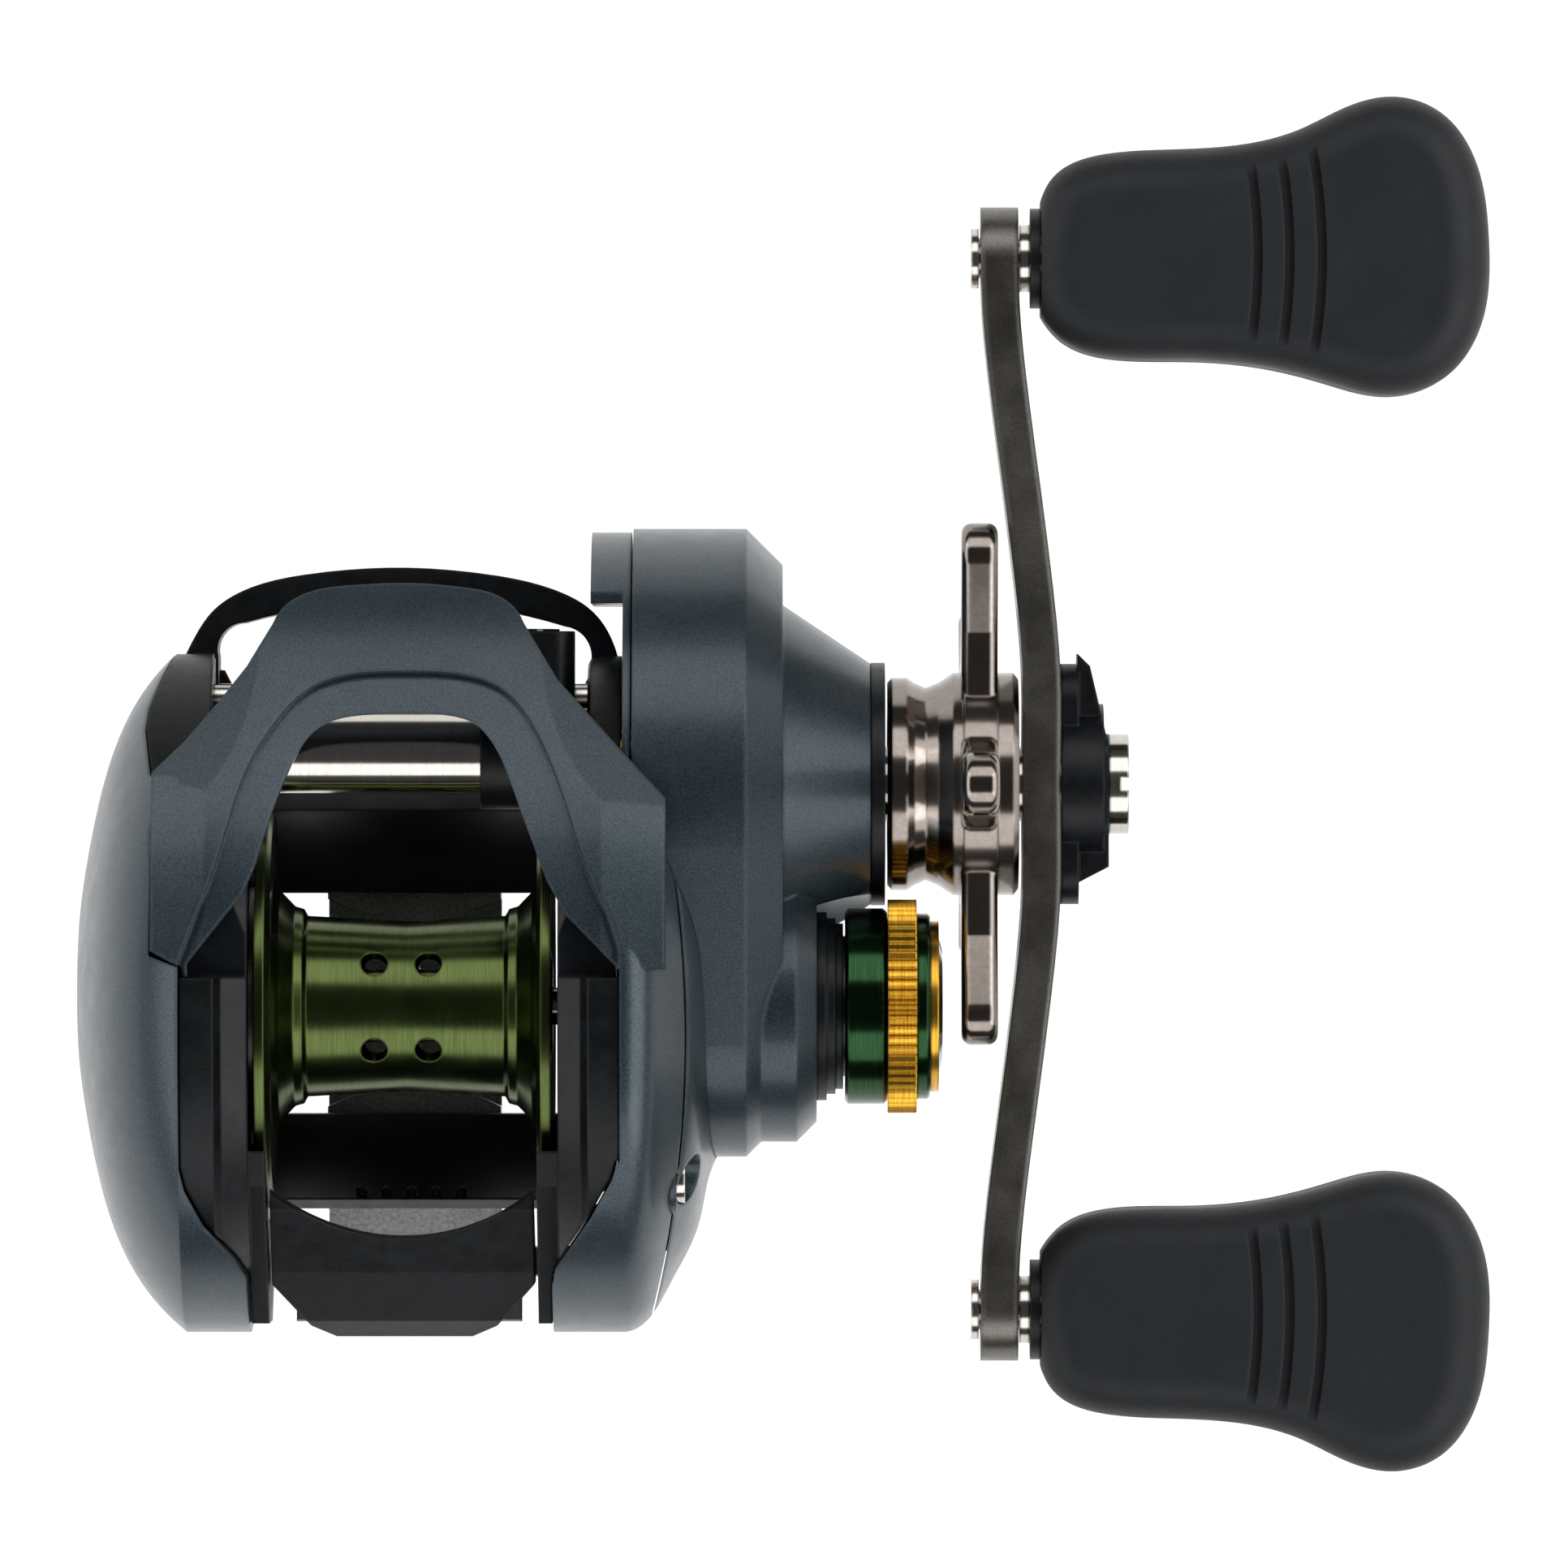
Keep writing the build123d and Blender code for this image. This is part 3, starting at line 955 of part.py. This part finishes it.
def line_guide():
    x0 = GUIDE_CENTRE - GUIDE_W / 2
    x1 = GUIDE_CENTRE + GUIDE_W / 2
    wy, wz = WORM_AXIS
    gy, gz = GUIDE_ROD_AXIS
    boss = rod(x0, x1, TUBE_R + 1.35, WORM_AXIS)
    nose = Pos(GUIDE_CENTRE, 0, 0) * extrude(
        Plane.XZ.offset(-(wy + 2.0)) * Pos(0, wz - 1.4) * RectangleRounded(GUIDE_W, 8.4, 1.6), -7.6)
    leg = side_slab([
        (wy + 1.5, wz - 2), (gy + 2.2, wz - 3), (gy + 2.2, gz - 1.9), (gy - 2.0, gz - 1.9),
        (wy + 0.6, wz - 6.4),
    ], x0 + 0.6, x1 - 0.6, 0.6)
    seat = upright(GUIDE_CENTRE, wy, wz - 7.0, wz - 3, PAWL_SEAT_R)
    body = boss + nose + leg + seat
    body = body - rod(x0 - 1, x1 + 1, TUBE_R + RUN, WORM_AXIS)
    body = body - rod(x0 - 1, x1 + 1, GUIDE_ROD_R + RUN, GUIDE_ROD_AXIS)
    body = body - rod(x0 - 1, x1 + 1, FLANGE_R + PLAY, SPOOL_AXIS)
    eye = Pos(GUIDE_CENTRE, wy + 7.0, wz - 1.4) * Rot(90, 0, 0)
    body = body - eye * Cylinder(EYE_SEAT_R, 7.0) - upright(GUIDE_CENTRE, wy, wz - 8, wz, PAWL_R)
    body = body - upright(GUIDE_CENTRE, wy, wz - 12, wz - 7.0, PAWL_SEAT_R - 0.1)
    insert = eye * (Cylinder(EYE_SEAT_R, 5.6) - Cylinder(EYE_R, 8))
    cap = upright(GUIDE_CENTRE, wy, wz - 8.0, wz - 7.02, PAWL_SEAT_R - 0.2)
    return {
        "line_guide": body,
        "guide_insert": insert - rod(x0 - 1, x1 + 1, TUBE_R + PLAY, WORM_AXIS),
        "levelwind_pawl": Compound(children=[
            upright(GUIDE_CENTRE, wy, wz - 6.8, wz - WORM_R - 0.06, PAWL_R),
            cap + upright(GUIDE_CENTRE, wy, wz - 7.1, wz - 6.85, PAWL_R),
        ]),
    }


# ---------------------------------------------------------------- thumb bar and clutch
def thumb_bar_parts():
    profile = [
        (-13.2, 36.6), (-16.0, 36.2), (-21.0, 31.6), (-25.0, 27.4), (-26.4, 25.0), (-26.4, 22.4),
        (-20.5, 22.4), (-16.6, 29.6),
    ]
    pad = side_slab(profile, BAR_MID - BAR_HALF, BAR_MID + BAR_HALF)
    half = [(BAR_HALF, -10), (BAR_HALF, -22.0), (BAR_HALF - 3.0, -25.4), (BAR_HALF - 5.0, -26.3)]
    plan = [(BAR_MID - x, y) for x, y in half] + [(BAR_MID + x, y) for x, y in reversed(half)]
    pad = pad & plan_slab(plan, 10, 50)
    saddle_r = (BAR_HALF ** 2 + SADDLE ** 2) / (2 * SADDLE)
    pad = pad - upright(BAR_MID, saddle_r - 18.2, 10, 50, saddle_r)
    pad = pad - Pos(BAR_MID, saddle_r - 18.2, 37.0) * Cone(saddle_r - 3.0, saddle_r + 5.0, 8.0)
    py, pz = CAM_PIN_AXIS
    carrier = block(-9.0, 9.0, -25.2, -19.8, 20.4, 22.4)
    arm = block(8.0, 17.2, py - 1.2, py + 1.2, 20.9, 22.4)
    arm = arm + block(15.6, 17.2, py - 1.2, py + 1.2, 20.9, pz + 1.4)
    pin = rod(17.0, 19.4, PIN_R, CAM_PIN_AXIS)
    return {"thumb_bar": pad, "thumb_bar_carrier": carrier + arm + pin}


def clutch_parts():
    py, pz = CAM_PIN_AXIS
    sy, sz = SPOOL_AXIS
    cam = ring(*CAM_X, POST_OFFSET - POST_R - 0.2, CAM_BORE_R, SPOOL_AXIS)
    lever = side_slab([(sy - 5.5, sz - 1.0), (py - 1.8, sz - 0.6), (py - 1.8, pz + 1.7),
                       (sy - 5.5, pz + 0.4)], *CAM_X)
    lever = lever - rod(CAM_X[0] - 1, CAM_X[1] + 1, CAM_BORE_R, SPOOL_AXIS)
    cam = cam + lever
    slot = PIN_R + 0.15
    cam = cam - block(CAM_X[0] - 1, CAM_X[1] + 1, py - 1.0, py + 1.5, pz - slot, pz + slot)
    yoke = Pos(0, *SPOOL_AXIS) * side_slab([(-3.4, -8.8), (3.4, -8.8), (3.4, 8.8), (-3.4, 8.8)], *YOKE_X, 2.0)
    fork = PINION_NECK_R + 0.1
    yoke = yoke - rod(19, 22, fork, SPOOL_AXIS) - block(19, 22, sy - 6, sy, sz - fork, sz + fork)
    posts = []
    coils = []
    for side in (1, -1):
        axis = (sy, sz + side * POST_OFFSET)
        yoke = yoke - rod(19, 22, POST_R + RUN, axis)
        posts.append(rod(17.8, POST_END, POST_R, axis) + rod(POST_END - 0.1, POST_END + 0.6, POST_R + 0.5,
                axis))
        turns = 4
        length = POST_END - YOKE_X[1] - 0.7
        path = Helix(length / turns, length, POST_R + 0.45)
        wire = Plane(origin=path @ 0, z_dir=path % 0) * Circle(0.22)
        coil = sweep(wire, path=path)
        coils.append(Pos(YOKE_X[1] + 0.28, axis[0], axis[1]) * (Rot(0, 90, 0) * coil))
    return {
        "clutch_cam": cam,
        "pinion_yoke": yoke,
        "yoke_posts": Compound(children=posts),
        "yoke_springs": Compound(children=coils),
    }


def fixed_drive_parts():
    screws = []
    for axis in COVER_SCREWS:
        head = rod(21.05, 22.1, COVER_HEAD_R, axis) - Pos(22.1, *axis) * Box(0.9, 2.6, 0.5)
        screws.append(head + rod(14.0, 21.1, COVER_SCREW_R, axis))
    spool_bore = SPOOL_SHAFT_R + 0.03
    bearing_face = PINION_X[1] + YOKE_SHIFT + 0.1
    bearings = Compound(children=[
        bearing(-20.2, -18.2, SPOOL_BEARING_R, spool_bore, SPOOL_AXIS),
        bearing(33.45, 35.4, SPOOL_BEARING_R, spool_bore, SPOOL_AXIS),
        bearing(bearing_face, 30.95, PINION_BEARING_R, PINION_TAIL_R + RUN, SPOOL_AXIS),
        bearing(13.45, 15.6, TAIL_BEARING_R, DRIVE_TAIL_R + RUN, DRIVE_AXIS),
        bearing(28.1, 30.2, DRIVE_BEARING_R, SLEEVE_R + RUN, DRIVE_AXIS),
    ])
    return {
        "cover_screws": Compound(children=screws),
        "ball_bearings": bearings,
        "roller_clutch": bearing(30.4, 36.2, DRIVE_BEARING_R, SLEEVE_R + RUN, DRIVE_AXIS),
        "neck_ring": ring(NECK_OUT - NECK_RING_T, NECK_OUT, NECK_R + 0.1, SLEEVE_R + 1.0, DRIVE_AXIS),
        "star_nut": hex_nut(40.6, 42.9, NUT_R, DRIVE_SHAFT_R + RUN, DRIVE_AXIS),
        "star_drag": star_node(),
    }


def build():
    hood = hood_node()
    palm = palm_plate_node(hood)
    nodes = {
        "hood": hood,
        "palm_side_plate": palm,
        "frame": frame_node(),
        "reel_foot": foot_node(),
        "foot_screws": foot_screws(),
        "right_shell": right_shell_node(),
        "gear_case": gear_case_node(),
        "gear_set_plate": gear_set_plate_node(),
    }
    nodes.update(palm_side())
    nodes.update(spool_assembly())
    nodes.update(gears())
    nodes.update(handle_parts())
    nodes.update(knob_assembly("front", 1))
    nodes.update(knob_assembly("rear", -1))
    nodes.update(cast_control())
    nodes.update(levelwind())
    nodes.update(line_guide())
    nodes.update(thumb_bar_parts())
    nodes.update(clutch_parts())
    nodes.update(fixed_drive_parts())
    return nodes


os.makedirs("parts", exist_ok=True)
for name, shape in build().items():
    export_step(shape, f"parts/{name}.step")
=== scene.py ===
import json

import bmesh
import bpy
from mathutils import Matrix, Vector


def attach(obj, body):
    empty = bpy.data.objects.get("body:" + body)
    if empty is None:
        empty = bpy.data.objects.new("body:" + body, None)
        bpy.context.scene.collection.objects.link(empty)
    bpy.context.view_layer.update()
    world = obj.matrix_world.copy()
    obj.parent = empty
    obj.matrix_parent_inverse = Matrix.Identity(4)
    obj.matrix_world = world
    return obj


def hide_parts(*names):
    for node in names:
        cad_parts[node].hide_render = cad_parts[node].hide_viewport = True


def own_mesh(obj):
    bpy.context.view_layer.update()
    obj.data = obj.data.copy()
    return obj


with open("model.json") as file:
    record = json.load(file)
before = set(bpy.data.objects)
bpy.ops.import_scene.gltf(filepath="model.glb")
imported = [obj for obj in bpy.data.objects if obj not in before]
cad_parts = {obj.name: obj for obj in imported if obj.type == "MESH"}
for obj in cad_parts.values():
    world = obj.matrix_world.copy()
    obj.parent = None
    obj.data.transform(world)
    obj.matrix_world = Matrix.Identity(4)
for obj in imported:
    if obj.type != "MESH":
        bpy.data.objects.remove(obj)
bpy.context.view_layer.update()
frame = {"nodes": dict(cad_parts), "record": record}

# Low-profile baitcasting reel: finishes, detailed pieces, camera and studio.
# X runs along the spool towards the handle, Y towards the rod tip, Z up. Metres.
MM = 0.001

REEL_MIDDLE = (0.03, 0.018, 0.02)       # what every softbox faces
# name, place, width, height, power in watts
SOFTBOXES = [
    ("softbox_front", (0.03, 0.52, 0.5), 1.5, 0.42, 4.2),
    ("softbox_rear", (0.03, -0.48, 0.46), 1.5, 0.42, 4.2),
    ("softbox_left", (-0.62, 0.018, 0.34), 1.0, 0.4, 3.2),
    ("softbox_right", (0.64, 0.018, 0.46), 1.0, 0.56, 5.2),
]
ROOM_LIGHT = 0.07
FLOOR_HEIGHT = -0.04
FLOOR_SIZE = 3.0
CAMERA_PLACE = (0.0299, 0.0177, 1.25)
CAMERA_LENS = 353.0
NODES = frame["nodes"]
SLOT_OF = {part["node"]: part["material_slot"] for part in frame["record"]["subparts"]}


# ---------------------------------------------------------------- colours and nodes
# a mix node's sockets when it mixes colours
MIX_FACTOR, MIX_A, MIX_B, MIX_RESULT = 0, 6, 7, 2


def linear(hex_colour):
    """An sRGB hex colour as linear RGBA."""
    values = [int(hex_colour[i:i + 2], 16) / 255 for i in (1, 3, 5)]
    return tuple(v / 12.92 if v <= 0.04045 else ((v + 0.055) / 1.055) ** 2.4 for v in values) + (1.0,)


def per_mm(size_mm):
    """Texture scale that gives a pattern a feature size in millimetres."""
    return 1.0 / (size_mm * MM)


def add(tree, kind, values=None, links=None, **settings):
    """Adds one node with its settings, socket values and incoming links."""
    made = tree.nodes.new(kind)
    for key, value in settings.items():
        setattr(made, key, value)
    for key, value in (values or {}).items():
        made.inputs[key].default_value = value
    for key, source in (links or {}).items():
        tree.links.new(source, made.inputs[key])
    return made


def new_material(name, **shader_values):
    """A material with one shader, and the object coordinates for its patterns."""
    material = bpy.data.materials.new(name)
    material.use_nodes = True
    tree = material.node_tree
    tree.nodes.clear()
    shader = add(tree, "ShaderNodeBsdfPrincipled")
    for key, value in shader_values.items():
        shader.inputs[key.replace("_", " ")].default_value = value
    out = add(tree, "ShaderNodeOutputMaterial")
    tree.links.new(shader.outputs["BSDF"], out.inputs["Surface"])
    place = add(tree, "ShaderNodeTexCoord").outputs["Object"]
    return material, tree, shader, place


def speckle(tree, place, size_mm, detail=2.0, rough=0.5, low=0.3, high=0.7, to_low=0.0, to_high=1.0):
    """Noise of a real size, stretched to a useful range."""
    noise = add(tree, "ShaderNodeTexNoise", {"Scale": per_mm(size_mm), "Detail": detail, "Roughness": rough},
                {"Vector": place})
    spread = add(tree, "ShaderNodeMapRange",
                 {"From Min": low, "From Max": high, "To Min": to_low, "To Max": to_high},
                 {"Value": noise.outputs["Fac"]})
    return spread.outputs["Result"]


def stretched(tree, place, scale):
    """Coordinates scaled unevenly, so that a pattern runs in lines."""
    return add(tree, "ShaderNodeMapping", {"Scale": scale}, {"Vector": place}).outputs["Vector"]


def tint(tree, shader, factor, dark, light):
    """Base colour that runs between two shades."""
    blend = add(tree, "ShaderNodeMix", {MIX_A: linear(dark), MIX_B: linear(light)}, {MIX_FACTOR: factor},
                data_type="RGBA")
    tree.links.new(blend.outputs[MIX_RESULT], shader.inputs["Base Color"])


def relief(tree, shader, height, depth_mm, edge_mm=0.15):
    """Surface grain, laid over edges that are eased by a small radius."""
    eased = add(tree, "ShaderNodeBevel", {"Radius": edge_mm * MM}, samples=4)
    bump = add(tree, "ShaderNodeBump", {"Distance": depth_mm * MM},
               {"Height": height, "Normal": eased.outputs["Normal"]})
    tree.links.new(bump.outputs["Normal"], shader.inputs["Normal"])


def uneven(tree, shader, place, size_mm, low, high):
    """Roughness that drifts over the surface, as handling and finishing leave it."""
    tree.links.new(speckle(tree, place, size_mm, 3.0, 0.6, 0.3, 0.7, low, high), shader.inputs["Roughness"])


# ---------------------------------------------------------------- finishes
def slate_enamel():
    """Baked metallic enamel over moulded covers: dark slate with a fine flake that catches side light."""
    material, tree, shader, place = new_material(
        "slate_enamel", Metallic=0.7, Roughness=0.36, Coat_Weight=0.35, Coat_Roughness=0.2)
    flake = speckle(tree, place, 0.14, 3.0, 0.7, 0.35, 0.65)
    tint(tree, shader, flake, "#1e272c", "#36434b")
    uneven(tree, shader, place, 2.5, 0.32, 0.4)
    relief(tree, shader, flake, 0.006, 0.5)
    return material


def frame_black():
    """Satin black enamel on die-cast aluminium, with a faint orange peel."""
    material, tree, shader, place = new_material("frame_black", Roughness=0.34, Specular_IOR_Level=0.22)
    tint(tree, shader, speckle(tree, place, 3.0), "#040607", "#090c10")
    uneven(tree, shader, place, 1.5, 0.32, 0.44)
    relief(tree, shader, speckle(tree, place, 0.25, 3.0, 0.6), 0.006, 0.3)
    return material


def turned_metal(name, dark, light, roughness, line_mm=0.12, depth_mm=0.0006):
    """Lathe-turned and polished metal: faint hairline rings round the X axis."""
    material, tree, shader, place = new_material(name, Metallic=1.0, Roughness=roughness)
    rings = stretched(tree, place, (1.0, 0.03, 0.03))
    lines = speckle(tree, rings, line_mm, 2.0, 0.6)
    tint(tree, shader, lines, dark, light)
    uneven(tree, shader, place, 4.0, roughness * 0.85, roughness * 1.2)
    relief(tree, shader, lines, depth_mm, 0.25)
    return material


def satin_metal(name, dark, light, roughness, grain_mm=0.3, depth_mm=0.004, edge_mm=0.2):
    """Blasted or plated metal with no direction to its grain."""
    material, tree, shader, place = new_material(name, Metallic=1.0, Roughness=roughness)
    grain = speckle(tree, place, grain_mm, 3.0, 0.6)
    tint(tree, shader, grain, dark, light)
    uneven(tree, shader, place, 5.0, roughness * 0.85, roughness * 1.2)
    relief(tree, shader, grain, depth_mm, edge_mm)
    return material


def soft_grip():
    """Soft-touch rubber: matte black with a fine pale bloom in the mould texture."""
    material, tree, shader, place = new_material("soft_grip", Roughness=0.55, Specular_IOR_Level=0.3)
    grain = speckle(tree, place, 0.15, 3.0, 0.7, 0.4, 0.75)
    tint(tree, shader, grain, "#05070a", "#0f1419")
    uneven(tree, shader, place, 6.0, 0.48, 0.6)
    relief(tree, shader, grain, 0.01, 0.5)
    return material


def moulded_plastic(name, dark, light, roughness, grain_mm=0.3):
    """Injection-moulded plastic with a light spark-eroded grain."""
    material, tree, shader, place = new_material(name, Roughness=roughness, Specular_IOR_Level=0.3)
    grain = speckle(tree, place, grain_mm, 2.0, 0.6)
    tint(tree, shader, grain, dark, light)
    relief(tree, shader, grain, 0.006)
    return material


def glossy_ceramic():
    """Polished dark ceramic with a hard, wet-looking shine."""
    material, tree, shader, place = new_material(
        "glossy_ceramic", Roughness=0.12, Coat_Weight=0.5, Coat_Roughness=0.05)
    grain = speckle(tree, place, 0.5)
    tint(tree, shader, grain, "#0c0f10", "#171b1d")
    relief(tree, shader, grain, 0.001)
    return material


CERAMIC = glossy_ceramic()
FINISHES = {
    "painted_slate": slate_enamel(),
    "black_frame": frame_black(),
    "foot_metal": satin_metal("blasted_aluminium", "#7d8082", "#a6a8a8", 0.36),
    "steel": turned_metal("polished_stainless", "#b4afa8", "#c6c1ba", 0.13, 0.1, 0.0005),
    "brass": turned_metal("machined_brass", "#8a6c34", "#b39258", 0.24),
    "dull_metal": satin_metal("stamped_steel", "#7d7f80", "#9b9c9c", 0.38),
    "white_plastic": moulded_plastic("natural_acetal", "#c9c5ba", "#dedad0", 0.42),
    "ceramic": CERAMIC,
    "green_anodised": turned_metal("green_anodised_aluminium", "#424d2b", "#525e35", 0.22),
    "gold_anodised": turned_metal("gold_anodised_aluminium", "#b5852a", "#d9a83a", 0.24),
    "dark_badge": CERAMIC,
    "gunmetal": satin_metal("black_nickel_plate", "#7d756f", "#877f79", 0.14, 0.5, 0.0003, 0.3),
    "knob_rubber": soft_grip(),
    "black_plastic": moulded_plastic("black_nylon", "#050607", "#0b0d0f", 0.42),
}
OWN_FINISH = {
    "handle_arm": satin_metal("satin_gunmetal_arm", "#5e5c57", "#6f6d68", 0.32, 0.2, 0.002, 0.7),
    "cast_control_cap": turned_metal("dark_green_anodised", "#1c331f", "#28472c", 0.16),
}


def dress(node, material):
    """Gives every slot of a piece one material."""
    target = NODES[node]
    if not target.material_slots:
        target.data.materials.append(material)
    for slot in target.material_slots:
        slot.material = material


for node_name in NODES:
    dress(node_name, OWN_FINISH.get(node_name, FINISHES[SLOT_OF[node_name]]))


# ---------------------------------------------------------------- pieces rebuilt as their own meshes
def spring_coils():
    """The two coil springs behind the pinion yoke, welded into one mesh of their own that rides with the
    frame.
    """
    source = NODES["yoke_springs"]
    bm = bmesh.new()
    bm.from_mesh(source.data)
    bmesh.ops.transform(bm, matrix=source.matrix_world, verts=bm.verts)
    bmesh.ops.remove_doubles(bm, verts=bm.verts, dist=0.0005 * MM)
    mesh = bpy.data.meshes.new("yoke_spring_coils")
    bm.to_mesh(mesh)
    bm.free()
    coils = bpy.data.objects.new("yoke_spring_coils", mesh)
    bpy.context.scene.collection.objects.link(coils)
    mesh.materials.append(FINISHES["steel"])
    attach(coils, "frame")
    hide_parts("yoke_springs")
    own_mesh(coils)


spring_coils()


# ---------------------------------------------------------------- camera, floor and light
def softbox(name, place, width, height, power):
    """A soft rectangular lamp that faces the reel."""
    lamp = bpy.data.lights.new(name, "AREA")
    lamp.shape = "RECTANGLE"
    lamp.size = width
    lamp.size_y = height
    lamp.energy = power
    holder = bpy.data.objects.new(name, lamp)
    holder.location = place
    holder.rotation_euler = (Vector(REEL_MIDDLE) - Vector(place)).to_track_quat("-Z", "Y").to_euler()
    bpy.context.scene.collection.objects.link(holder)


def studio():
    """Long softboxes along all four sides with a dark gap overhead, over a pale floor."""
    bm = bmesh.new()
    bmesh.ops.create_grid(bm, x_segments=1, y_segments=1, size=FLOOR_SIZE)
    bmesh.ops.translate(bm, verts=bm.verts, vec=(0, 0, FLOOR_HEIGHT))
    floor_mesh = bpy.data.meshes.new("floor")
    bm.to_mesh(floor_mesh)
    bm.free()
    floor = bpy.data.objects.new("floor", floor_mesh)
    bpy.context.scene.collection.objects.link(floor)
    paper, tree, shader, place = new_material("paper_floor", Roughness=0.9, Specular_IOR_Level=0.1)
    tint(tree, shader, speckle(tree, place, 40.0), "#fafafa", "#fefefe")
    floor_mesh.materials.append(paper)

    for name, where, width, height, power in SOFTBOXES:
        softbox(name, where, width, height, power)

    world = bpy.data.worlds.new("studio")
    world.use_nodes = True
    background = world.node_tree.nodes["Background"]
    background.inputs["Color"].default_value = (1.0, 1.0, 1.0, 1.0)
    background.inputs["Strength"].default_value = ROOM_LIGHT
    bpy.context.scene.world = world
    bpy.context.scene.view_settings.view_transform = "Standard"

    camera_data = bpy.data.cameras.new("camera")
    camera_data.sensor_width = 36.0
    camera_data.lens = CAMERA_LENS
    camera_data.clip_end = 20.0
    camera = bpy.data.objects.new("camera", camera_data)
    camera.location = CAMERA_PLACE
    bpy.context.scene.collection.objects.link(camera)
    bpy.context.scene.camera = camera


studio()
